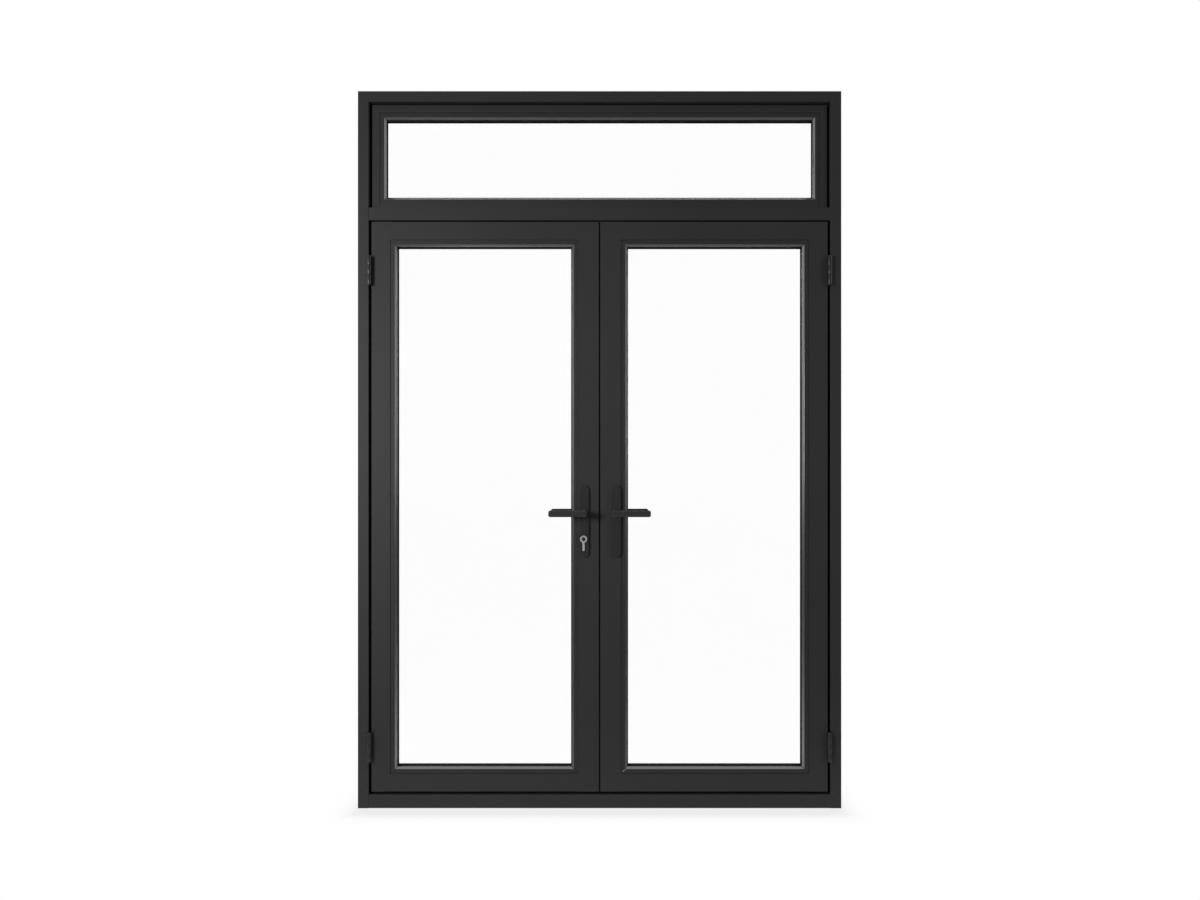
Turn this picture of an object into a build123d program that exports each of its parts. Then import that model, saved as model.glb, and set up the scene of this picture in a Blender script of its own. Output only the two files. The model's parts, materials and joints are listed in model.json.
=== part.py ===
from build123d import *
from math import sqrt
import os

os.makedirs("parts", exist_ok=True)

# Outer frame, in millimetres. X runs to the right, Y into the building, Z up from the floor.
frame_width = 1645.0
frame_height = 2440.0
frame_depth = 70.0
frame_face = 36.5
sill_height = 46.0
sill_recess = 0.6
profile_wall = 2.0
profile_arris = 0.8
stop_height = 18.0
stop_thickness = 10.0
fixing_hole_diameter = 9.0
fixing_hole_inset = 250.0

# Bar between the doors and the light above them
bar_bottom = 2001.0
bar_height = 43.0
bar_recess = 1.5
bar_lip_height = 10.0
bar_lip_thickness = 9.0

# Fixed light above the doors
light_recess = 14.0
light_side_gap = 8.0
light_top_gap = 5.0
light_bottom_gap = 1.0
light_face = 26.0

# Door leaves
leaf_depth = 52.0
leaf_recess = 3.0
hinge_gap = 9.0
meeting_gap = 4.5
leaf_top_gap = 5.0
leaf_bottom_gap = 9.5
hinge_stile_face = 64.0
lock_stile_face = 70.5
rail_face = 61.0
cap_thickness = 8.0
cap_clearance = 0.2

# Glazing: bead, gaskets and a sealed double pane
bead_flat = 15.0
bead_bevel = 7.0
bead_recess = 2.0
bead_joint = 0.2
gasket_thickness = 3.0
gasket_width = 14.0
gasket_show = 3.0
pane_thickness = 5.0
pane_space = 12.0
pane_edge_gap = 6.0
spacer_inset = 2.0
spacer_width = 10.0
glazing_lip = 4.0
lip_setback = 3.0

# Seals
stop_seal_width = 8.0
stop_seal_clearance = 0.3
stop_seal_inset = 4.0
meeting_seal_width = 4.0
meeting_seal_clearance = 0.6

# Butt hinges
barrel_diameter = 15.0
barrel_height = 100.0
barrel_clearance = 0.8
knuckle_gap = 0.4
pin_diameter = 7.0
pin_clearance = 0.05
hinge_plate_thickness = 2.5
hinge_plate_depth = 30.0
hinge_top_inset = 168.0
hinge_bottom_inset = 154.5

# Lever handles on plates
handle_height = 1004.0
backset = 52.0
plate_width = 36.0
plate_length = 246.0
plate_drop = 28.0
plate_thickness = 8.0
plate_corner = 16.5
plate_edge = 1.5
neck_diameter = 20.0
neck_length = 44.0
neck_clearance = 0.3
collar_diameter = 30.0
collar_length = 6.0
grip_length = 117.0
grip_height = 22.0
grip_thickness = 13.0
grip_corner = 4.0
grip_bevel = 3.0
spindle_size = 8.0
spindle_clearance = 0.1
spindle_bite = 30.0
spindle_room = 0.5

# Lock with its cylinder, and the bolts
cylinder_drop = 88.0
cylinder_head_diameter = 24.0
cylinder_stem_width = 7.5
cylinder_stem_drop = 40.0
cylinder_stand = 4.0
cylinder_clearance = 0.4
plug_diameter = 14.0
plug_clearance = 0.05
plug_setback = 0.4
key_slot_width = 3.2
key_slot_length = 9.0
key_slot_depth = 12.0
case_thickness = 20.0
case_width = 66.0
case_rise = 42.0
case_drop = 146.0
right_case_drop = 28.0
faceplate_width = 24.0
faceplate_overhang = 12.0
case_clearance = 0.2
rod_diameter = 10.0
rod_clearance = 0.2
rod_bite = 24.0
rod_setback = 1.0
bolt_throw = 20.0
centre_bolt_height = 20.0
centre_bolt_thickness = 10.0
centre_bolt_length = 36.0
centre_bolt_drop = 56.0
bolt_play = 1.0
keep_wall = 2.0
keep_play = 2.0

# One overrun serves every cut that has to pass clean through a wall
overrun = 6.0

# Planes and lines that the pieces share
half_width = frame_width / 2
half_clear = half_width - frame_face
front = -frame_depth / 2
back = frame_depth / 2
stop_front = back - stop_thickness
head_bottom = frame_height - frame_face
bar_top = bar_bottom + bar_height
bar_seat = bar_top - bar_lip_height
leaf_front = front + leaf_recess
leaf_back = leaf_front + leaf_depth
leaf_middle = leaf_front + leaf_depth / 2
leaf_bottom = sill_height + leaf_bottom_gap
leaf_top = bar_bottom - leaf_top_gap
hinge_edge = half_clear - hinge_gap
lock_edge = meeting_gap / 2
spindle_line = lock_edge + backset
rod_line = lock_edge + lock_stile_face / 2 - spindle_size
cylinder_height = handle_height - cylinder_drop
bead_width = bead_flat + bead_bevel
glass_stack = gasket_thickness + pane_thickness + pane_space + pane_thickness + gasket_thickness
pin_line_x = half_clear - hinge_gap / 2
pin_line_y = front - barrel_diameter / 2 - barrel_clearance
case_top = handle_height + case_rise
grip_rise = grip_height / 2
spindle_window = spindle_size * sqrt(2) / 2 + spindle_room
hinge_heights = (leaf_bottom + hinge_bottom_inset, leaf_top - hinge_top_inset)
lip_width = bead_width - lip_setback


def keep_piece(piece, name):
    """Label a finished piece and write it to its own file."""
    piece.part.label = name
    export_step(piece.part, f"parts/{name}.step")


def block(x_start, x_end, y_start, y_end, z_start, z_end, mode=Mode.ADD):
    """Add or cut a straight block between two corners."""
    centre = ((x_start + x_end) / 2, (y_start + y_end) / 2, (z_start + z_end) / 2)
    with Locations(centre):
        Box(abs(x_end - x_start), abs(y_end - y_start), abs(z_end - z_start), mode=mode)


def bore(x, y, z, diameter, length, turn, mode=Mode.SUBTRACT):
    """Add or cut a round bar about a centre point, turned to lie along one axis."""
    with Locations((x, y, z)):
        Cylinder(diameter / 2, length, rotation=turn, mode=mode)


along_x = (0, 90, 0)
along_y = (90, 0, 0)
along_z = (0, 0, 0)


def tube_upright(x_outer, x_inner, y_start, y_end, z_start, z_end, eased=2):
    """Extrude a hollow rectangular profile upwards, easing the arrises of its outer side, or all four."""
    with BuildSketch(Plane.XY.offset(z_start)) as section:
        with Locations(((x_outer + x_inner) / 2, (y_start + y_end) / 2)):
            Rectangle(abs(x_inner - x_outer), abs(y_end - y_start))
            corners = section.vertices().sort_by(lambda corner: abs(corner.X - x_outer))
            chamfer(corners[:eased], length=profile_arris)
            hollow_x = abs(x_inner - x_outer) - 2 * profile_wall
            hollow_y = abs(y_end - y_start) - 2 * profile_wall
            Rectangle(hollow_x, hollow_y, mode=Mode.SUBTRACT)
    extrude(section.sketch, amount=z_end - z_start)


def tube_across(x_start, x_end, y_start, y_end, z_outer, z_inner, eased=2):
    """Extrude a hollow rectangular profile along X, easing the arrises of its outer side, or all four."""
    with BuildSketch(Plane.YZ.offset(x_start)) as section:
        with Locations(((y_start + y_end) / 2, (z_outer + z_inner) / 2)):
            Rectangle(abs(y_end - y_start), abs(z_inner - z_outer))
            corners = section.vertices().sort_by(lambda corner: abs(corner.Y - z_outer))
            chamfer(corners[:eased], length=profile_arris)
            hollow_y = abs(y_end - y_start) - 2 * profile_wall
            hollow_z = abs(z_inner - z_outer) - 2 * profile_wall
            Rectangle(hollow_y, hollow_z, mode=Mode.SUBTRACT)
    extrude(section.sketch, amount=x_end - x_start)


def mitre(side, keep):
    """Cut the piece along the line from the frame's top outer corner to its inner one."""
    origin = (side * half_width, 0, frame_height)
    split(bisect_by=Plane(origin=origin, x_dir=(0, 1, 0), z_dir=(side, 0, -1)), keep=keep)


# Jambs: full height, with a stop behind each door edge and behind the light's edge
door_stop_start = sill_height + stop_height
door_stop_end = bar_bottom - stop_height
light_stop_start = bar_seat + stop_height
light_stop_end = head_bottom - stop_height
fixing_heights = (fixing_hole_inset, frame_height - fixing_hole_inset)

for side, side_name in ((-1, "left"), (1, "right")):
    with BuildPart() as jamb:
        tube_upright(side * half_width, side * half_clear, front, back, 0, frame_height, 4)
        mitre(side, Keep.TOP)
        stop_edge = side * (half_clear - stop_height)
        block(side * half_clear, stop_edge, stop_front, back, door_stop_start, door_stop_end)
        block(side * half_clear, stop_edge, stop_front, back, light_stop_start, light_stop_end)
        for height in fixing_heights:
            jamb_middle = side * (half_width - frame_face / 2)
            bore(jamb_middle, 0, height, fixing_hole_diameter, frame_face + overrun, along_x)
    keep_piece(jamb, f"{side_name}_jamb")

# Head: mitred to the jambs, with its stop hanging down at the back
with BuildPart() as head:
    tube_across(-half_width, half_width, front, back, frame_height, head_bottom, 4)
    for side in (-1, 1):
        mitre(side, Keep.BOTTOM)
    block(-half_clear, half_clear, stop_front, back, head_bottom - stop_height, head_bottom)
keep_piece(head, "head")

# Sockets for the door bolts, sunk in the sill and in the bar
keep_size = rod_diameter + 2 * bolt_play
keep_depth = bolt_throw + keep_play
socket_size = keep_size + 2 * keep_wall
socket_clearance = cap_clearance


def well(x, z_start, z_end, size, mode):
    """Add or cut a square upright block on the line of a bolt."""
    block(x - size / 2, x + size / 2, leaf_middle - size / 2, leaf_middle + size / 2, z_start, z_end, mode)


# Sill: between the jambs, with the upstand that the doors close on
with BuildPart() as sill:
    tube_across(-half_clear, half_clear, front + sill_recess, back, 0, sill_height, 4)
    block(-half_clear, half_clear, stop_front, back, sill_height, sill_height + stop_height)
    for side in (-1, 1):
        well(side * rod_line, sill_height - keep_depth, sill_height + overrun,
             socket_size + socket_clearance, Mode.SUBTRACT)
keep_piece(sill, "sill")

# Bar: a stop below for the doors, a stop above and a front lip for the fixed light
with BuildPart() as bar:
    tube_across(-half_clear, half_clear, front + bar_recess, back, bar_bottom, bar_seat, 4)
    block(-half_clear, half_clear, stop_front, back, bar_bottom - stop_height, bar_bottom)
    block(-half_clear, half_clear, stop_front, back, bar_seat, bar_seat + stop_height)
    lip_front = front + bar_recess
    block(-half_clear, half_clear, lip_front, lip_front + bar_lip_thickness, bar_seat - profile_arris, bar_top)
    for side in (-1, 1):
        well(side * rod_line, bar_bottom - overrun, bar_bottom + keep_depth,
             socket_size + socket_clearance, Mode.SUBTRACT)
keep_piece(bar, "transom_bar")

# Bolt sockets: four square cups, sunk into the hollow of the sill and the bar
with BuildPart() as sockets:
    for side in (-1, 1):
        for mouth, inward in ((sill_height, -1), (bar_bottom, 1)):
            well(side * rod_line, mouth, mouth + inward * keep_depth, socket_size, Mode.ADD)
            well(side * rod_line, mouth, mouth + inward * (keep_depth - keep_wall), keep_size, Mode.SUBTRACT)
keep_piece(sockets, "bolt_sockets")

# Weather seal: four strips on the stops, which the closed leaves press on
seal_front = leaf_back + stop_seal_clearance
seal_side_outer = half_clear - stop_height + stop_seal_width
seal_side_inner = half_clear - stop_height
seal_low_start = sill_height + stop_height - stop_seal_width
seal_low_end = sill_height + stop_height
seal_high_start = bar_bottom - stop_height
seal_high_end = bar_bottom - stop_height + stop_seal_width
with BuildPart() as stop_seal:
    for side in (-1, 1):
        block(side * seal_side_outer, side * seal_side_inner, seal_front, stop_front,
              seal_low_end + stop_seal_inset, seal_high_start - stop_seal_inset)
    block(-seal_side_outer, seal_side_outer, seal_front, stop_front, seal_low_start, seal_low_end)
    block(-seal_side_outer, seal_side_outer, seal_front, stop_front, seal_high_start, seal_high_end)
keep_piece(stop_seal, "door_stop_seal")


def ring(x_start, x_end, z_start, z_end, width, y_start, y_end):
    """Add one flat rectangular ring of the given width."""
    block(x_start, x_end, y_start, y_end, z_start, z_end)
    block(x_start + width, x_end - width, y_start, y_end, z_start + width, z_end - width, Mode.SUBTRACT)


def glaze(name, x_start, x_end, z_start, z_end, sash_front, sash_depth):
    """Fill a rebate with mitred bevelled beads, two gaskets, two panes and their spacer."""
    bead_front = sash_front + bead_recess
    bead_back = sash_front + sash_depth - glazing_lip - glass_stack
    inner_x_start = x_start + bead_width
    inner_x_end = x_end - bead_width
    inner_z_start = z_start + bead_width
    inner_z_end = z_end - bead_width
    centre = ((x_start + x_end) / 2, bead_front, (z_start + z_end) / 2)
    strips = (
        ((x_start + bead_joint, z_start), (x_end - bead_joint, z_start),
         (inner_x_end - bead_joint, inner_z_start), (inner_x_start + bead_joint, inner_z_start)),
        ((x_start + bead_joint, z_end), (x_end - bead_joint, z_end),
         (inner_x_end - bead_joint, inner_z_end), (inner_x_start + bead_joint, inner_z_end)),
        ((x_start, z_start + bead_joint), (x_start, z_end - bead_joint),
         (inner_x_start, inner_z_end - bead_joint), (inner_x_start, inner_z_start + bead_joint)),
        ((x_end, z_start + bead_joint), (x_end, z_end - bead_joint),
         (inner_x_end, inner_z_end - bead_joint), (inner_x_end, inner_z_start + bead_joint)),
    )
    front_plane = Plane(origin=(0, bead_front, 0), x_dir=(1, 0, 0), z_dir=(0, -1, 0))
    with BuildPart() as beads:
        for corners in strips:
            with BuildSketch(front_plane) as outline:
                with BuildLine():
                    Polyline(*corners, close=True)
                make_face()
            extrude(outline.sketch, amount=bead_front - bead_back)
            front_edges = beads.edges(Select.LAST).filter_by_position(Axis.Y, bead_front, bead_front)
            chamfer(front_edges.sort_by_distance(centre)[0], length=bead_bevel)
    keep_piece(beads, f"{name}_beads")

    front_offset = bead_width + gasket_show - gasket_width
    rear_offset = lip_width - gasket_width
    outer_pane_front = bead_back + gasket_thickness
    inner_pane_front = outer_pane_front + pane_thickness + pane_space
    lip_front = inner_pane_front + pane_thickness + gasket_thickness
    with BuildPart() as gaskets:
        for gasket_front, offset in ((bead_back, front_offset), (lip_front - gasket_thickness, rear_offset)):
            ring(x_start + offset, x_end - offset, z_start + offset, z_end - offset,
                 gasket_width, gasket_front, gasket_front + gasket_thickness)
    keep_piece(gaskets, f"{name}_gaskets")

    with BuildPart() as panes:
        for pane_front in (outer_pane_front, inner_pane_front):
            block(x_start + pane_edge_gap, x_end - pane_edge_gap, pane_front, pane_front + pane_thickness,
                  z_start + pane_edge_gap, z_end - pane_edge_gap)
    keep_piece(panes, f"{name}_panes")

    spacer_edge = pane_edge_gap + spacer_inset
    with BuildPart() as spacer:
        ring(x_start + spacer_edge, x_end - spacer_edge, z_start + spacer_edge, z_end - spacer_edge,
             spacer_width, outer_pane_front + pane_thickness, inner_pane_front)
    keep_piece(spacer, f"{name}_glass_spacer")


# Fixed light: two stiles, two rails between them, seated on the stops
light_front = front + light_recess
light_depth = stop_front - light_front
light_edge = half_clear - light_side_gap
light_bottom = bar_seat + light_bottom_gap
light_top = head_bottom - light_top_gap
light_lip_front = stop_front - glazing_lip
light_inner_edge = light_edge - light_face
light_rail_bottom = light_bottom + light_face
light_rail_top = light_top - light_face

for side, side_name in ((-1, "left"), (1, "right")):
    with BuildPart() as light_stile:
        tube_upright(side * light_edge, side * light_inner_edge, light_front, stop_front, light_bottom, light_top)
        block(side * light_inner_edge, side * (light_inner_edge - lip_width), light_lip_front, stop_front,
              light_rail_bottom, light_rail_top)
    keep_piece(light_stile, f"transom_{side_name}_stile")

light_lip_end = light_inner_edge - lip_width
with BuildPart() as light_bottom_rail:
    tube_across(-light_inner_edge, light_inner_edge, light_front, stop_front, light_bottom, light_rail_bottom)
    block(-light_lip_end, light_lip_end, light_lip_front, stop_front,
          light_rail_bottom, light_rail_bottom + lip_width)
keep_piece(light_bottom_rail, "transom_bottom_rail")

with BuildPart() as light_top_rail:
    tube_across(-light_inner_edge, light_inner_edge, light_front, stop_front, light_top, light_rail_top)
    block(-light_lip_end, light_lip_end, light_lip_front, stop_front, light_rail_top - lip_width, light_rail_top)
keep_piece(light_top_rail, "transom_top_rail")

glaze("transom", -light_inner_edge, light_inner_edge, light_rail_bottom, light_rail_top, light_front, light_depth)


def euro_profile(plane, grow):
    """Sketch the keyed cylinder's outline: a round head over a narrow round-ended stem."""
    with BuildSketch(plane) as outline:
        Circle(cylinder_head_diameter / 2 + grow)
        stem_middle = -cylinder_stem_drop / 2
        with Locations((0, stem_middle)):
            Rectangle(cylinder_stem_width + 2 * grow, cylinder_stem_drop - cylinder_stem_width)
        with Locations((0, -cylinder_stem_drop + cylinder_stem_width / 2)):
            Circle(cylinder_stem_width / 2 + grow)
    return outline.sketch


def cylinder_plane(side, y):
    """A plane across the cylinder, facing out of the front."""
    return Plane(origin=(side * spindle_line, y, cylinder_height), x_dir=(1, 0, 0), z_dir=(0, -1, 0))


def spindle_hole(x):
    """Cut a square window that the turning spindle clears, through all that it passes."""
    block(x - spindle_window, x + spindle_window,
          leaf_front - plate_thickness - overrun, leaf_back + plate_thickness + overrun,
          handle_height - spindle_window, handle_height + spindle_window, Mode.SUBTRACT)


# Leaves: stiles run full height, rails fit between them
lip_front = leaf_back - glazing_lip
rail_low_top = leaf_bottom + rail_face
rail_high_bottom = leaf_top - rail_face
hinge_inner = hinge_edge - hinge_stile_face
lock_inner = lock_edge + lock_stile_face
case_front = leaf_middle - case_thickness / 2
case_back = leaf_middle + case_thickness / 2
faceplate_front = leaf_middle - faceplate_width / 2
faceplate_back = leaf_middle + faceplate_width / 2
centre_bolt_line = handle_height - centre_bolt_drop

for side, side_name in ((-1, "left"), (1, "right")):
    keyed = side_name == "left"
    case_bottom = handle_height - (case_drop if keyed else right_case_drop)

    with BuildPart() as hinge_stile:
        tube_upright(side * hinge_edge, side * hinge_inner, leaf_front, leaf_back, leaf_bottom, leaf_top)
        block(side * hinge_inner, side * (hinge_inner - lip_width), lip_front, leaf_back,
              rail_low_top, rail_high_bottom)
    keep_piece(hinge_stile, f"{side_name}_hinge_stile")

    with BuildPart() as lock_stile:
        tube_upright(side * lock_edge, side * lock_inner, leaf_front, leaf_back, leaf_bottom, leaf_top)
        block(side * lock_inner, side * (lock_inner + lip_width), lip_front, leaf_back,
              rail_low_top, rail_high_bottom)
        spindle_hole(side * spindle_line)
        block(side * (lock_edge - overrun), side * (lock_edge + profile_wall),
              faceplate_front - case_clearance, faceplate_back + case_clearance,
              case_bottom - faceplate_overhang - case_clearance, case_top + faceplate_overhang + case_clearance,
              Mode.SUBTRACT)
        if keyed:
            cylinder_window = cylinder_head_diameter / 2 + cylinder_clearance
            block(side * spindle_line - cylinder_window, side * spindle_line + cylinder_window,
                  leaf_front - overrun, leaf_back + overrun,
                  cylinder_height - cylinder_stem_drop - cylinder_clearance,
                  cylinder_height + cylinder_window, Mode.SUBTRACT)
        else:
            block(side * (lock_edge - overrun), side * (lock_edge + profile_wall),
                  leaf_middle - centre_bolt_thickness / 2 - bolt_play,
                  leaf_middle + centre_bolt_thickness / 2 + bolt_play,
                  centre_bolt_line - centre_bolt_height / 2 - bolt_play,
                  centre_bolt_line + centre_bolt_height / 2 + bolt_play, Mode.SUBTRACT)
    keep_piece(lock_stile, f"{side_name}_lock_stile")

    rail_ends = sorted((side * hinge_inner, side * lock_inner))
    with BuildPart() as bottom_rail:
        tube_across(rail_ends[0], rail_ends[1], leaf_front, leaf_back, leaf_bottom, rail_low_top)
        block(rail_ends[0] + lip_width, rail_ends[1] - lip_width, lip_front, leaf_back,
              rail_low_top, rail_low_top + lip_width)
    keep_piece(bottom_rail, f"{side_name}_bottom_rail")

    with BuildPart() as top_rail:
        tube_across(rail_ends[0], rail_ends[1], leaf_front, leaf_back, leaf_top, rail_high_bottom)
        block(rail_ends[0] + lip_width, rail_ends[1] - lip_width, lip_front, leaf_back,
              rail_high_bottom - lip_width, rail_high_bottom)
    keep_piece(top_rail, f"{side_name}_top_rail")

    glaze(side_name, rail_ends[0], rail_ends[1], rail_low_top, rail_high_bottom, leaf_front, leaf_depth)

    # Caps in both ends of the lock stile, which guide the bolts
    cap_outer = lock_edge + profile_wall + cap_clearance
    cap_inner = lock_inner - profile_wall - cap_clearance
    cap_front = leaf_front + profile_wall + cap_clearance
    cap_back = leaf_back - profile_wall - cap_clearance
    with BuildPart() as caps:
        for cap_start in (leaf_bottom, leaf_top - cap_thickness):
            block(side * cap_outer, side * cap_inner, cap_front, cap_back, cap_start, cap_start + cap_thickness)
            bore(side * rod_line, leaf_middle, cap_start + cap_thickness / 2,
                 rod_diameter + 2 * rod_clearance, cap_thickness + overrun, along_z)
    keep_piece(caps, f"{side_name}_stile_caps")

    # Seals in the meeting gap, one behind the other and both in front of the centre bolt
    seal_start = leaf_middle - centre_bolt_thickness / 2 - bolt_play - meeting_seal_width
    if keyed:
        seal_start = seal_start - 2 * meeting_seal_width
    with BuildPart() as meeting_seal:
        block(side * lock_edge, -side * (lock_edge - meeting_seal_clearance),
              seal_start, seal_start + meeting_seal_width, leaf_bottom, leaf_top)
    keep_piece(meeting_seal, f"{side_name}_meeting_seal")

    # Lock case with its faceplate, cut for the spindle, the rods and the bolt
    with BuildPart() as case:
        block(side * lock_edge, side * (lock_edge + profile_wall), faceplate_front, faceplate_back,
              case_bottom - faceplate_overhang, case_top + faceplate_overhang)
        block(side * (lock_edge + profile_wall), side * (lock_edge + case_width), case_front, case_back,
              case_bottom, case_top)
        spindle_hole(side * spindle_line)
        rod_hole = rod_bite + bolt_play
        for end, inward in ((case_top, -1), (case_bottom, 1)):
            bore(side * rod_line, leaf_middle, end + inward * rod_hole / 2,
                 rod_diameter + 2 * rod_clearance, rod_hole, along_z)
        if keyed:
            extrude(euro_profile(cylinder_plane(side, leaf_front - overrun), cylinder_clearance),
                    amount=-(leaf_depth + 2 * overrun), mode=Mode.SUBTRACT)
            block(side * (lock_edge - overrun), side * (lock_edge + centre_bolt_length + bolt_play),
                  leaf_middle - centre_bolt_thickness / 2 - rod_clearance,
                  leaf_middle + centre_bolt_thickness / 2 + rod_clearance,
                  centre_bolt_line - centre_bolt_height / 2 - rod_clearance,
                  centre_bolt_line + centre_bolt_height / 2 + rod_clearance, Mode.SUBTRACT)
    keep_piece(case, f"{side_name}_lock_case")

    # Rods that shoot up into the bar and down into the sill
    for rod_name, start, end in (
        ("top", case_top - rod_bite, leaf_top - rod_setback),
        ("bottom", leaf_bottom + rod_setback, case_bottom + rod_bite),
    ):
        with BuildPart() as rod:
            bore(side * rod_line, leaf_middle, (start + end) / 2, rod_diameter, end - start, along_z, Mode.ADD)
            rod_tip = rod.edges().filter_by(GeomType.CIRCLE).sort_by(Axis.Z)[-1 if rod_name == "top" else 0]
            chamfer(rod_tip, length=profile_arris)
        keep_piece(rod, f"{side_name}_{rod_name}_bolt")

    # Handle plates, levers and the square spindle through both
    plate_middle = handle_height - plate_drop
    plate_line = side * spindle_line
    for face_name, face, outward in (("outer", leaf_front, -1), ("inner", leaf_back, 1)):
        face_plane = Plane(origin=(plate_line, face, 0), x_dir=(-outward, 0, 0), z_dir=(0, outward, 0))
        with BuildPart() as plate:
            with BuildSketch(face_plane) as plate_outline:
                with Locations((0, plate_middle)):
                    RectangleRounded(plate_width, plate_length, plate_corner)
            extrude(plate_outline.sketch, amount=plate_thickness)
            chamfer(plate.faces().sort_by(Axis.Y)[0 if outward < 0 else -1].edges(), length=plate_edge)
            spindle_hole(plate_line)
            if keyed:
                extrude(euro_profile(cylinder_plane(side, leaf_front - plate_thickness - overrun),
                                     cylinder_clearance),
                        amount=-(leaf_depth + 2 * plate_thickness + 2 * overrun), mode=Mode.SUBTRACT)
        keep_piece(plate, f"{side_name}_{face_name}_plate")

        grip_back = face + outward * (plate_thickness + neck_length)
        grip_plane = Plane(origin=(plate_line, grip_back, handle_height), x_dir=(1, 0, 0), z_dir=(0, -1, 0))
        with BuildPart() as lever:
            with BuildSketch(grip_plane) as grip_outline:
                with BuildLine():
                    Polyline(
                        (side * (grip_corner - grip_rise), -grip_rise),
                        (-side * grip_rise, grip_corner - grip_rise),
                        (-side * grip_rise, grip_rise - grip_corner),
                        (side * (grip_corner - grip_rise), grip_rise),
                        (side * (grip_length - grip_corner), grip_rise),
                        (side * grip_length, grip_rise - grip_corner),
                        (side * grip_length, grip_corner - grip_rise),
                        (side * (grip_length - grip_corner), -grip_rise),
                        close=True,
                    )
                make_face()
            extrude(grip_outline.sketch, amount=-outward * grip_thickness)
            grip_face = lever.faces().sort_by(Axis.Y)[0 if outward < 0 else -1]
            chamfer(grip_face.edges(), length=grip_bevel)
            collar_back = face + outward * (plate_thickness + neck_clearance)
            bore(plate_line, (collar_back + grip_back) / 2, handle_height, neck_diameter,
                 abs(grip_back - collar_back), along_y, Mode.ADD)
            collar_middle = collar_back + outward * collar_length / 2
            bore(plate_line, collar_middle, handle_height, collar_diameter, collar_length, along_y, Mode.ADD)
            socket = spindle_size + 2 * spindle_clearance
            socket_end = face + outward * (spindle_bite + spindle_clearance)
            block(plate_line - socket / 2, plate_line + socket / 2, collar_back, socket_end,
                  handle_height - socket / 2, handle_height + socket / 2, Mode.SUBTRACT)
        keep_piece(lever, f"{side_name}_{face_name}_lever")

    with BuildPart() as spindle:
        block(plate_line - spindle_size / 2, plate_line + spindle_size / 2,
              leaf_front - spindle_bite, leaf_back + spindle_bite,
              handle_height - spindle_size / 2, handle_height + spindle_size / 2)
    keep_piece(spindle, f"{side_name}_spindle")

    # Hinges: two outer knuckles and a plate on the jamb, one middle knuckle and a plate on the leaf
    axis_x = side * pin_line_x
    knuckle = barrel_height / 3
    plate_start = pin_line_y + barrel_diameter / 2 + knuckle_gap
    plate_end = front + hinge_plate_depth
    with BuildPart() as frame_hinges:
        for middle in hinge_heights:
            low = middle - barrel_height / 2
            face_x = side * half_clear
            inner_x = side * (half_clear - hinge_plate_thickness)
            block(face_x, inner_x, plate_start, plate_end, low, low + barrel_height)
            for step in (0, 2):
                knuckle_middle = low + (step + 1 / 2) * knuckle
                bore(axis_x, pin_line_y, knuckle_middle, barrel_diameter, knuckle - knuckle_gap, along_z, Mode.ADD)
                block(face_x, inner_x, pin_line_y, plate_start,
                      knuckle_middle - (knuckle - knuckle_gap) / 2, knuckle_middle + (knuckle - knuckle_gap) / 2)
            bore(axis_x, pin_line_y, middle, pin_diameter + 2 * pin_clearance, barrel_height + overrun, along_z)
    keep_piece(frame_hinges, f"{side_name}_frame_hinges")

    with BuildPart() as leaf_hinges:
        for middle in hinge_heights:
            low = middle - barrel_height / 2
            face_x = side * hinge_edge
            inner_x = side * (hinge_edge + hinge_plate_thickness)
            block(face_x, inner_x, plate_start, plate_end, low, low + barrel_height)
            bore(axis_x, pin_line_y, middle, barrel_diameter, knuckle - knuckle_gap, along_z, Mode.ADD)
            block(face_x, inner_x, pin_line_y, plate_start,
                  middle - (knuckle - knuckle_gap) / 2, middle + (knuckle - knuckle_gap) / 2)
            bore(axis_x, pin_line_y, middle, pin_diameter + 2 * pin_clearance, barrel_height + overrun, along_z)
    keep_piece(leaf_hinges, f"{side_name}_leaf_hinges")

    with BuildPart() as hinge_pins:
        for middle in hinge_heights:
            bore(axis_x, pin_line_y, middle, pin_diameter, barrel_height, along_z, Mode.ADD)
    keep_piece(hinge_pins, f"{side_name}_hinge_pins")

# Keyed cylinder in the left leaf, and the plug that the key turns
cylinder_front = leaf_front - plate_thickness - cylinder_stand
cylinder_length = leaf_depth + 2 * (plate_thickness + cylinder_stand)
with BuildPart() as cylinder:
    extrude(euro_profile(cylinder_plane(-1, cylinder_front), 0), amount=-cylinder_length)
    bore(-spindle_line, leaf_middle, cylinder_height,
         plug_diameter + 2 * plug_clearance, cylinder_length + overrun, along_y)
keep_piece(cylinder, "left_cylinder")

plug_length = cylinder_length - 2 * plug_setback
with BuildPart() as plug:
    bore(-spindle_line, leaf_middle, cylinder_height, plug_diameter, plug_length, along_y, Mode.ADD)
    for end in (-1, 1):
        slot_end = leaf_middle + end * plug_length / 2
        block(-spindle_line - key_slot_width / 2, -spindle_line + key_slot_width / 2,
              slot_end - end * key_slot_depth, slot_end + end * overrun,
              cylinder_height - key_slot_length / 2, cylinder_height + key_slot_length / 2, Mode.SUBTRACT)
keep_piece(plug, "left_cylinder_plug")

# Centre bolt of the left leaf, withdrawn flush with its faceplate
with BuildPart() as centre_bolt:
    block(-lock_edge - rod_setback, -lock_edge - centre_bolt_length,
          leaf_middle - centre_bolt_thickness / 2, leaf_middle + centre_bolt_thickness / 2,
          centre_bolt_line - centre_bolt_height / 2, centre_bolt_line + centre_bolt_height / 2)
keep_piece(centre_bolt, "left_centre_bolt")
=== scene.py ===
# %% [markdown]
# # Black french doors under a fixed light
# A pair of glazed aluminium doors stands in its own frame, with a fixed pane above.
# The solids were drawn in a CAD program. This lesson gives them edges, finishes, a floor and light.
# Each step says what the thing is on the real doors, how it could be made, and why this way was taken.

# %% Load the doors
import json
import math

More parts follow.
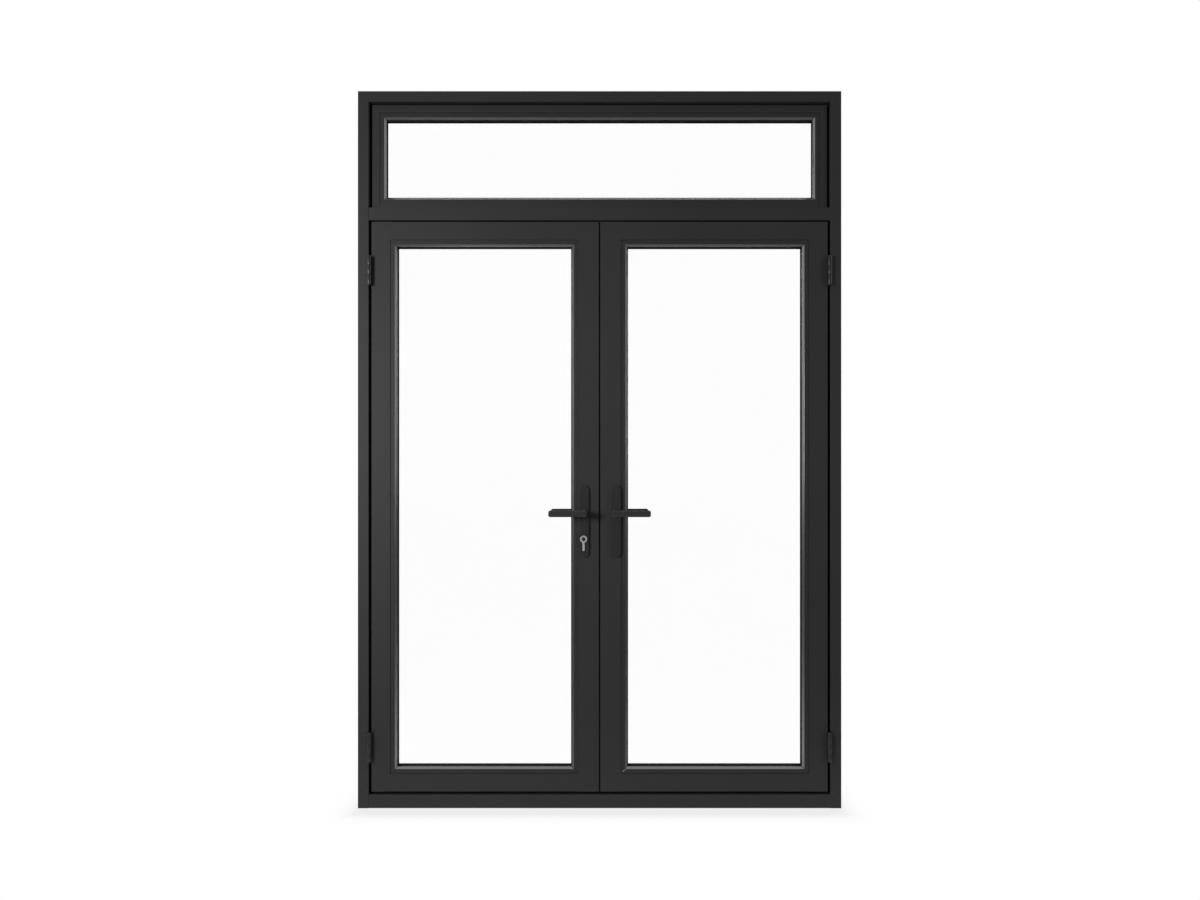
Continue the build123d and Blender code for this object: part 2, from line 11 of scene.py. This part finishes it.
import bpy
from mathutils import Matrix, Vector


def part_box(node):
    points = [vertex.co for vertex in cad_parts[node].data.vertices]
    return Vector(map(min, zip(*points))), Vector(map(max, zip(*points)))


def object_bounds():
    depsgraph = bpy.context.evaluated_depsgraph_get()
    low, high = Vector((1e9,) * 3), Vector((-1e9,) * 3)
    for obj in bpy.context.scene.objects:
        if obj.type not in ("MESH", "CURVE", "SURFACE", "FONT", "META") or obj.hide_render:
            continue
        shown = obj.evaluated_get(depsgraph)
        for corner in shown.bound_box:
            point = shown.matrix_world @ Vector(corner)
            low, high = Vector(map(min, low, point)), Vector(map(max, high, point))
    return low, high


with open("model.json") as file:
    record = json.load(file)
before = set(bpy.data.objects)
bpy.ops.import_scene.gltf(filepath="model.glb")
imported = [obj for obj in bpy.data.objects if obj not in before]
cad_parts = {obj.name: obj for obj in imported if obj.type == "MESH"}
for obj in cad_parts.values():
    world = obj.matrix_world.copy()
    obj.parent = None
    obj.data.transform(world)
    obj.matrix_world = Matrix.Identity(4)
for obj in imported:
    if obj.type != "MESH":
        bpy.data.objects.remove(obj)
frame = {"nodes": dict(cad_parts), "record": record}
cad_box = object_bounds()

# %% [markdown]
# ## The camera
# The photograph looks square at the doors from outside, with upright lines that stay upright.
# Tilting the camera would make the jambs lean, so it stays level at eye height.
# The picture's centre is a little above the eye line. A small lens shift gives that, as a view camera would.

# %% Place the camera
photo_width = 1200
sensor_width = 36.0
front_scale = 0.003402
viewing_distance = 3.0
eye_height = 1.127
eye_aside = 0.0014
eye_line_drop = 27

door_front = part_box("left_jamb")[0].y
viewer = bpy.data.cameras.new("Viewer")
viewer.sensor_width = sensor_width
viewer.lens = sensor_width * viewing_distance / (photo_width * front_scale)
viewer.shift_y = eye_line_drop / photo_width
camera = bpy.data.objects.new("Viewer", viewer)
camera.location = (eye_aside, door_front - viewing_distance, eye_height)
camera.rotation_euler = (math.radians(90), 0, 0)
bpy.context.scene.collection.objects.link(camera)
bpy.context.scene.camera = camera
print("lens", round(viewer.lens, 2), "mm")

# %% [markdown]
# ## Writing shader maths as sums
# Every finish below is a small network of nodes. Adding Math nodes one by one is slow to read.
# A thin wrapper round a socket lets Python's own operators add them, so that 1 - grain means what it says.
# All other nodes come from one method: it takes the node's type, its settings, and what goes in its sockets.

# %% Wrap a socket
def plug(tree, socket, value):
    """Link a wire to a socket, or set a plain value on it."""
    if isinstance(value, Wire):
        tree.links.new(value.socket, socket)
    else:
        socket.default_value = value


class Wire:
    """One output socket. Sums written with it add Math nodes to its tree."""

    def __init__(self, tree, socket):
        self.tree = tree
        self.socket = socket

    def _sum(self, operation, first, second=0.0):
        node = self.tree.nodes.new("ShaderNodeMath")
        node.operation = operation
        plug(self.tree, node.inputs[0], first)
        plug(self.tree, node.inputs[1], second)
        return Wire(self.tree, node.outputs[0])

    def __add__(self, other):
        return self._sum("ADD", self, other)

    def __radd__(self, other):
        return self._sum("ADD", other, self)

    def __sub__(self, other):
        return self._sum("SUBTRACT", self, other)

    def __rsub__(self, other):
        return self._sum("SUBTRACT", other, self)

    def __mul__(self, other):
        return self._sum("MULTIPLY", self, other)

    def __rmul__(self, other):
        return self._sum("MULTIPLY", other, self)

    def __truediv__(self, other):
        return self._sum("DIVIDE", self, other)

    def __rtruediv__(self, other):
        return self._sum("DIVIDE", other, self)

    def __pow__(self, other):
        return self._sum("POWER", self, other)

    def __rpow__(self, other):
        return self._sum("POWER", other, self)

    def __abs__(self):
        return self._sum("ABSOLUTE", self)


class Finish:
    """A material or world tree, and the one method that adds any node to it."""

    def __init__(self, owner):
        owner.use_nodes = True
        self.owner = owner
        self.tree = owner.node_tree
        self.tree.nodes.clear()

    def node(self, kind, settings=None, output=0, **inputs):
        """Add a node. Its settings come first, then values or wires for its sockets.

        A socket goes by its name, with underscores for spaces, or by its number after an i, as in i0.
        """
        made = self.tree.nodes.new(kind)
        for name, value in (settings or {}).items():
            setattr(made, name, value)
        for name, value in inputs.items():
            numbered = name[0] == "i" and name[1:].isdigit()
            key = int(name[1:]) if numbered else name.replace("_", " ")
            plug(self.tree, made.inputs[key], value)
        return Wire(self.tree, made.outputs[output]) if made.outputs else None


def material(name):
    """Start an empty material."""
    return Finish(bpy.data.materials.new(name))


print("sums and nodes are ready")

# %% [markdown]
# ## Tools for every finish
# Paint, metal and rubber all vary a little over a surface, in tone, in gloss and in height.
# A photograph of each would be one way. Noise in metres works at any size and on every piece without seams.
# Four short functions are enough: noise, a mix of two colours, a bump, and the way out of the network.

# %% Make the tools
noise_roughness = 0.55
noise_middle = 0.5


def grainy(finish, scale, detail, stretch=None):
    """Noise in metres over a piece, from 0 to 1. A stretch draws it out into strokes, as a brush does."""
    where = finish.node("ShaderNodeTexCoord", output="Object")
    if stretch:
        where = finish.node("ShaderNodeVectorMath", {"operation": "MULTIPLY"}, i0=where, i1=stretch)
    return finish.node(
        "ShaderNodeTexNoise", Vector=where, Scale=scale, Detail=detail, Roughness=noise_roughness
    )


def blend(finish, share, first, second):
    """Mix two colours by a share."""
    return finish.node("ShaderNodeMix", {"data_type": "RGBA"}, output=2, i0=share, i6=first, i7=second)


def bumped(finish, height, strength, depth):
    """Turn a height into a normal."""
    return finish.node("ShaderNodeBump", Height=height, Strength=strength, Distance=depth)


def surface(finish, shader):
    """Join a shader to the material's output."""
    finish.node("ShaderNodeOutputMaterial", Surface=shader)
    return finish.owner


print("noise, mix, bump and output are ready")

# %% [markdown]
# ## Powder coat
# The profiles are extruded aluminium with a matte black powder coat, baked on.
# Close up it has a fine grain and a soft orange peel, and its tone drifts a little along a length.
# The sloping faces of the glazing beads are smoother, and shine as thin pale lines round the glass.
# A second material would mean marking those faces one by one. A clear coat is mixed in instead,
# by the surface's own direction, so the flat of a bead stays matte.

# %% Mix the powder coat
fully_sloping = 0.80
fully_square = 0.95
drift_in_tone, grain_in_tone = 0.6, 0.4
drift_in_gloss, grain_in_gloss = 0.08, 0.12
grain_in_height = 0.5
matte_bump, smooth_bump = 0.12, 0.015


def sloping(finish):
    """1 on faces that slope away from the front or back, 0 on faces square to them."""
    outward = finish.node("ShaderNodeTexCoord", output="Normal")
    square = abs(finish.node("ShaderNodeSeparateXYZ", output="Y", Vector=outward))
    return 1 - finish.node("ShaderNodeMapRange", Value=square, From_Min=fully_sloping, From_Max=fully_square)


def coat(name, deep, worn, roughness, shiny_slopes=False):
    """Matte paint: two near blacks that drift along the length, a fine grain, and orange peel."""
    finish = material(name)
    drift = grainy(finish, scale=2.2, detail=3.0)
    grain = grainy(finish, scale=950, detail=2.0)
    peel = grainy(finish, scale=190, detail=1.0)
    uneven = (grain - noise_middle) * grain_in_gloss
    patchy = (drift - noise_middle) * drift_in_gloss
    strength = smooth_bump if shiny_slopes else matte_bump
    shader = finish.node(
        "ShaderNodeBsdfPrincipled",
        Base_Color=blend(finish, drift * drift_in_tone + grain * grain_in_tone, deep, worn),
        Roughness=roughness + uneven + patchy,
        IOR=1.35,
        Coat_Weight=sloping(finish) if shiny_slopes else 0.0,
        Coat_Roughness=0.18,
        Coat_IOR=2.2,
        Normal=bumped(finish, grain * grain_in_height + peel, strength, depth=0.0003),
    )
    return surface(finish, shader)


profile_coat = coat(
    "Powder coat", deep=(0.028, 0.028, 0.0285, 1), worn=(0.042, 0.042, 0.0425, 1), roughness=0.56
)
bead_coat = coat(
    "Bead coat", deep=(0.026, 0.026, 0.0265, 1), worn=(0.039, 0.039, 0.0395, 1), roughness=0.52, shiny_slopes=True
)
print("mixed", profile_coat.name, "and", bead_coat.name)

# %% [markdown]
# ## Handles and hinges
# The plates, levers and hinges are cast and then painted satin black, a little smoother than the profiles.
# Their grain is finer, and they carry faint strokes along their length from being polished before paint.
# Stretching the noise along one axis gives the strokes, with no extra texture.

# %% Paint the handles and hinges
strokes_along_x = (1, 30, 30)
strokes_along_z = (30, 30, 1)
stroke_in_gloss = 0.06
stroke_in_height, fine_in_height = 0.3, 0.7


def satin(name, deep, worn, roughness, stretch):
    """Smooth black paint over metal with faint strokes along one axis."""
    finish = material(name)
    stroke = grainy(finish, scale=40, detail=3.0, stretch=stretch)
    fine = grainy(finish, scale=1800, detail=1.0)
    height = stroke * stroke_in_height + fine * fine_in_height
    shader = finish.node(
        "ShaderNodeBsdfPrincipled",
        Base_Color=blend(finish, stroke, deep, worn),
        Roughness=roughness + (stroke - noise_middle) * stroke_in_gloss,
        Specular_IOR_Level=0.30,
        Normal=bumped(finish, height, strength=0.08, depth=0.0002),
    )
    return surface(finish, shader)


plate_paint = satin(
    "Plate paint",
    deep=(0.026, 0.026, 0.0265, 1),
    worn=(0.037, 0.037, 0.0375, 1),
    roughness=0.38,
    stretch=strokes_along_z,
)
lever_paint = satin(
    "Lever paint",
    deep=(0.032, 0.032, 0.0325, 1),
    worn=(0.046, 0.046, 0.0465, 1),
    roughness=0.34,
    stretch=strokes_along_x,
)
hinge_paint = satin(
    "Hinge paint",
    deep=(0.024, 0.024, 0.0245, 1),
    worn=(0.040, 0.040, 0.0405, 1),
    roughness=0.30,
    stretch=strokes_along_z,
)
print("painted", plate_paint.name, lever_paint.name, hinge_paint.name)

# %% [markdown]
# ## Bare metal
# The keyed cylinder is satin nickel, and the bolts and lock cases are zinc plated. Its plug is painted far darker
# than the ring, as painted shade that stands in for the dark keyway.
# Metal has no colour of its own below the surface, so all of its look is reflection and roughness.
# Turned or drawn strokes in the roughness keep it from looking like chrome.

# %% Make the metals
turned_rings = (1, 25, 1)
drawn_strokes = (20, 20, 1)
stroke_in_tone, cloud_in_tone = 0.6, 0.4
stroke_in_shine, cloud_in_shine = 0.2, 0.1


def bare_metal(name, deep, pale, roughness, stretch):
    """Metal with turned or drawn strokes in its tone and gloss."""
    finish = material(name)
    stroke = grainy(finish, scale=60, detail=4.0, stretch=stretch)
    cloud = grainy(finish, scale=35, detail=2.0)
    uneven = (stroke - noise_middle) * stroke_in_shine
    patchy = (cloud - noise_middle) * cloud_in_shine
    shader = finish.node(
        "ShaderNodeBsdfPrincipled",
        Base_Color=blend(finish, stroke * stroke_in_tone + cloud * cloud_in_tone, deep, pale),
        Metallic=1.0,
        Roughness=roughness + uneven + patchy,
        Normal=bumped(finish, stroke, strength=0.06, depth=0.0002),
    )
    return surface(finish, shader)


nickel = bare_metal(
    "Satin nickel",
    deep=(0.70, 0.69, 0.67, 1),
    pale=(0.88, 0.87, 0.84, 1),
    roughness=0.44,
    stretch=turned_rings,
)
# Painted shade: the plug's nickel is far darker than the ring's, in place of the shade inside the keyway.
plug_nickel_painted_shade = bare_metal(
    "Plug nickel in painted shade",
    deep=(0.15, 0.145, 0.135, 1),
    pale=(0.24, 0.23, 0.215, 1),
    roughness=0.38,
    stretch=turned_rings,
)
zinc = bare_metal(
    "Zinc plate",
    deep=(0.40, 0.41, 0.42, 1),
    pale=(0.60, 0.61, 0.62, 1),
    roughness=0.42,
    stretch=drawn_strokes,
)
print("made", nickel.name, plug_nickel_painted_shade.name, zinc.name)

# %% [markdown]
# ## Rubber, nylon and the spacer bar
# Gaskets and seals are black rubber, dull and slightly chalky. The stile caps are moulded nylon.
# The bar that holds the two panes apart is anodised black, with a low sheen.
# Each could have its own network. They share one recipe, because all three are dark, dull and plain,
# and only their tones, gloss and grain differ.

# %% Make the dull black pieces
bloom_in_tone, mould_in_tone = 0.7, 0.3
bloom_in_gloss = 0.15


def dull(name, deep, chalky, roughness, mould_scale):
    """A dark dull material with a chalky bloom and a fine moulded grain."""
    finish = material(name)
    bloom = grainy(finish, scale=18, detail=4.0)
    mould = grainy(finish, scale=mould_scale, detail=2.0)
    shader = finish.node(
        "ShaderNodeBsdfPrincipled",
        Base_Color=blend(finish, bloom * bloom_in_tone + mould * mould_in_tone, deep, chalky),
        Roughness=roughness + (bloom - noise_middle) * bloom_in_gloss,
        Specular_IOR_Level=0.25,
        Normal=bumped(finish, mould, strength=0.15, depth=0.0003),
    )
    return surface(finish, shader)


rubber = dull(
    "Black rubber",
    deep=(0.004, 0.004, 0.004, 1),
    chalky=(0.010, 0.010, 0.010, 1),
    roughness=0.80,
    mould_scale=700,
)
nylon = dull(
    "Black nylon",
    deep=(0.012, 0.012, 0.012, 1),
    chalky=(0.022, 0.022, 0.022, 1),
    roughness=0.55,
    mould_scale=1200,
)
anodised = dull(
    "Spacer bar",
    deep=(0.012, 0.012, 0.012, 1),
    chalky=(0.024, 0.024, 0.024, 1),
    roughness=0.45,
    mould_scale=900,
)
print("made", rubber.name, nylon.name, anodised.name)

# %% [markdown]
# ## Clear glass
# The panes are clear float glass. Face on they send back very little, and much more at a slant.
# Full refraction is the heavy way, and it turns two flat panes noisy and dark for no gain.
# A film that mixes clear with gloss looks the same on a flat pane.
# Layer Weight's Facing says how far the pane slants. A Fresnel node would go wrong here:
# past 42 degrees it takes the far face of each pane for a perfect mirror.

# %% Make the glass
slant_power = 5
slant_gloss = 0.9
smear_gloss = 0.003
face_gloss = 0.004
glass_finish = material("Clear glass")
smear = grainy(glass_finish, scale=6, detail=4.0)
slant = glass_finish.node("ShaderNodeLayerWeight", output="Facing", Blend=0.5)
clear = glass_finish.node("ShaderNodeBsdfTransparent", Color=(0.999, 0.9992, 0.999, 1))
sheen = glass_finish.node(
    "ShaderNodeBsdfPrincipled", Base_Color=(0.9, 0.93, 0.92, 1), Metallic=1.0, Roughness=0.02
)
gloss_share = slant**slant_power * slant_gloss + smear * smear_gloss + face_gloss
pane_film = glass_finish.node("ShaderNodeMixShader", i0=gloss_share, i1=clear, i2=sheen)
glass = surface(glass_finish, pane_film)
print("made", glass.name)

# %% [markdown]
# ## Giving each piece its finish
# On the real doors, pieces made in the same way have the same finish.
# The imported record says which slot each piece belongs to, such as lever or rubber.
# Naming pieces one by one would be long. One table of slots keeps like pieces alike, and no piece is forgotten.

# %% Dress every piece
finish_of_slot = {
    "coated_profile": profile_coat,
    "coated_bead": bead_coat,
    "handle_plate": plate_paint,
    "lever": lever_paint,
    "hinge": hinge_paint,
    "lock_steel": zinc,
    "cylinder": nickel,
    "plug": plug_nickel_painted_shade,
    "rubber": rubber,
    "spacer": anodised,
    "cap": nylon,
    "glass": glass,
}
slot_of_piece = {row["node"]: row["material_slot"] for row in frame["record"]["subparts"]}
for piece, slot in slot_of_piece.items():
    mesh = frame["nodes"][piece].data
    mesh.materials.clear()
    mesh.materials.append(finish_of_slot[slot])
print("dressed", len(slot_of_piece), "pieces in", len(finish_of_slot), "finishes")

# %% [markdown]
# ## Edges that catch the light
# No painted edge is truly sharp: it is rounded by about a millimetre, and that line catches the light.
# The edges could be filleted in the solids, which would cost thousands of faces.
# A bevel modifier does it here without touching the CAD mesh. A weld comes first, to close its split corners.

# %% Ease the edges
edge_width = {
    "coated_bead": 0.0008,
    "handle_plate": 0.0006,
    "lever": 0.0012,
    "hinge": 0.0008,
    "cylinder": 0.0006,
}
weld_reach = 0.00001
edge_steps = 2
sharp_from = math.radians(35)
eased = 0
for piece, slot in slot_of_piece.items():
    if slot in edge_width:
        node = frame["nodes"][piece]
        weld = node.modifiers.new("Weld", "WELD")
        weld.merge_threshold = weld_reach
        bevel = node.modifiers.new("Eased edge", "BEVEL")
        bevel.width = edge_width[slot]
        bevel.segments = edge_steps
        bevel.limit_method = "ANGLE"
        bevel.angle_limit = sharp_from
        bevel.harden_normals = True
        eased = eased + 1
print("eased the edges of", eased, "pieces")

# %% [markdown]
# ## Floor
# The doors stand on a pale plain floor with no end in sight. A curved studio backdrop could be modelled. One
# large flat square is enough, because its edges fade to white.

# %% Lay the floor
floor_half = 30.0
floor_corners = ((-1, -1), (1, -1), (1, 1), (-1, 1))
floor_mesh = bpy.data.meshes.new("Floor")
floor_mesh.from_pydata([(x * floor_half, y * floor_half, 0) for x, y in floor_corners], [], [(0, 1, 2, 3)])
floor = bpy.data.objects.new("Floor", floor_mesh)
bpy.context.scene.collection.objects.link(floor)
print("laid a floor", 2 * floor_half, "m wide")

# %% [markdown]
# ## The shadow on the floor
# The photograph keeps only a soft shadow along the sill, and all else on the floor is white.
# A plain lit floor would grey away into the distance. Here it is lit near the doors, where the shadow falls. That
# band is painted shade, deepest at the sill and fading with distance from the doors' box; the lit floor it mixes
# in carries the real shadow.
# Further off it fades to white to the eye, while it still bounces light as a pale floor does.
# In reflections it is white only near the doors, because the far end of the studio is dark.

# %% Whiten the floor away from the doors
painted_shade_reach = 0.028
painted_shade_share = 0.20
mirror_full = 0.12
mirror_gone = 0.45


def seen(finish):
    """1 for rays that reach a person straight from the scene or through glass."""
    straight = finish.node("ShaderNodeLightPath", output="Is Camera Ray")
    through = finish.node("ShaderNodeLightPath", output="Is Transmission Ray")
    return 1 - (1 - straight) * (1 - through)


def mirrored(finish):
    """1 for rays that come off a shiny surface."""
    return finish.node("ShaderNodeLightPath", output="Is Glossy Ray")


def beyond(finish, spot, axis, half):
    """How far a spot lies past the doors along one axis, and 0 beside them."""
    along = abs(finish.node("ShaderNodeSeparateXYZ", output=axis, Vector=spot))
    return finish.node("ShaderNodeMath", {"operation": "MAXIMUM"}, i0=along - half, i1=0.0)


low, high = cad_box
floor_finish = material("Pale floor")
spot = floor_finish.node("ShaderNodeTexCoord", output="Object")
beyond_x = beyond(floor_finish, spot, "X", (high.x - low.x) / 2)
beyond_y = beyond(floor_finish, spot, "Y", (high.y - low.y) / 2)
away = (beyond_x * beyond_x + beyond_y * beyond_y) ** 0.5
# Painted shade: the floor darkens in a band round the doors' box, deepest at the sill, where a share of lit floor
# with its real shadow takes the place of white.
far = 1 - painted_shade_share * math.e ** (away / -painted_shade_reach)
near = 1 - floor_finish.node("ShaderNodeMapRange", Value=away, From_Min=mirror_full, From_Max=mirror_gone)
white_share = far * (seen(floor_finish) + mirrored(floor_finish) * near)
lit = floor_finish.node("ShaderNodeBsdfDiffuse", Color=(0.70, 0.70, 0.70, 1))
white = floor_finish.node("ShaderNodeEmission", Color=(1, 1, 1, 1), Strength=1.0)
pale_floor = floor_finish.node("ShaderNodeMixShader", i0=white_share, i1=lit, i2=white)
floor_mesh.materials.append(surface(floor_finish, pale_floor))
print("the shadow on the floor halves every", round(painted_shade_reach * math.log(2), 3), "m")

# %% [markdown]
# ## Lamps
# The photograph is lit by one soft panel in front on the left: plates and hinges throw short shadows to the right.
# That lamp alone would leave the right leaf black, so a weaker panel stands on the right, with two more behind.
# A sun would be simpler, but its shadows are hard. A panel's size sets how soft its shadows are.

# %% Hang the lamps
def soft_panel(name, place, aim, width, height, watts, spread=180):
    """A soft rectangular light that faces a point, with a grid that narrows its spread in degrees."""
    lamp = bpy.data.lights.new(name, "AREA")
    lamp.shape = "RECTANGLE"
    lamp.size = width
    lamp.size_y = height
    lamp.energy = watts
    lamp.spread = math.radians(spread)
    panel = bpy.data.objects.new(name, lamp)
    panel.location = place
    panel.rotation_euler = (Vector(aim) - Vector(place)).to_track_quat("-Z", "Y").to_euler()
    panel.visible_camera = False
    bpy.context.scene.collection.objects.link(panel)
    return panel


panels = [
    soft_panel("Key panel", (-2.5, -2.7, 1.6), (-0.15, 0, 1.3), width=0.9, height=0.9, watts=22, spread=95),
    soft_panel("Right panel", (2.4, -1.3, 1.6), (0.2, 0, 1.3), width=0.5, height=1.6, watts=7),
    soft_panel("Back left panel", (-2.2, 2.0, 2.6), (0, 0, 1.2), width=1.0, height=1.6, watts=30),
    soft_panel("Back right panel", (2.4, 1.8, 2.0), (0, 0, 1.2), width=1.0, height=1.6, watts=30),
]
print("hung", len(panels), "panels")

# %% [markdown]
# ## The room
# The studio round the doors gives an even low light, and shows plain white to the eye and through the glass.
# A plain white room would also show in every reflection, and turn the black faces grey.
# So in reflections its sides are white and its two ends are dark. The bevels mirror the sides, so they shine,
# while the flat faces mirror the dark end behind the viewer, so they stay black.

# %% Light the room
room_level = 0.13
dark_share = 0.90
side_until = 0.45
end_from = 0.85
world = bpy.data.worlds.new("Studio")
bpy.context.scene.world = world
room = Finish(world)
heading = room.node("ShaderNodeTexCoord", output="Generated")
facing = abs(room.node("ShaderNodeSeparateXYZ", output="Y", Vector=heading))
smooth = {"interpolation_type": "SMOOTHSTEP"}
dark_end = dark_share * room.node(
    "ShaderNodeMapRange", smooth, Value=facing, From_Min=side_until, From_Max=end_from
)
level = room_level + (seen(room) + mirrored(room) * (1 - dark_end)) * (1 - room_level)
glow = room.node("ShaderNodeBackground", Color=(1, 1, 1, 1), Strength=level)
room.node("ShaderNodeOutputWorld", Surface=glow)
bpy.context.scene.view_settings.view_transform = "Standard"
print("lit the room at", room_level)
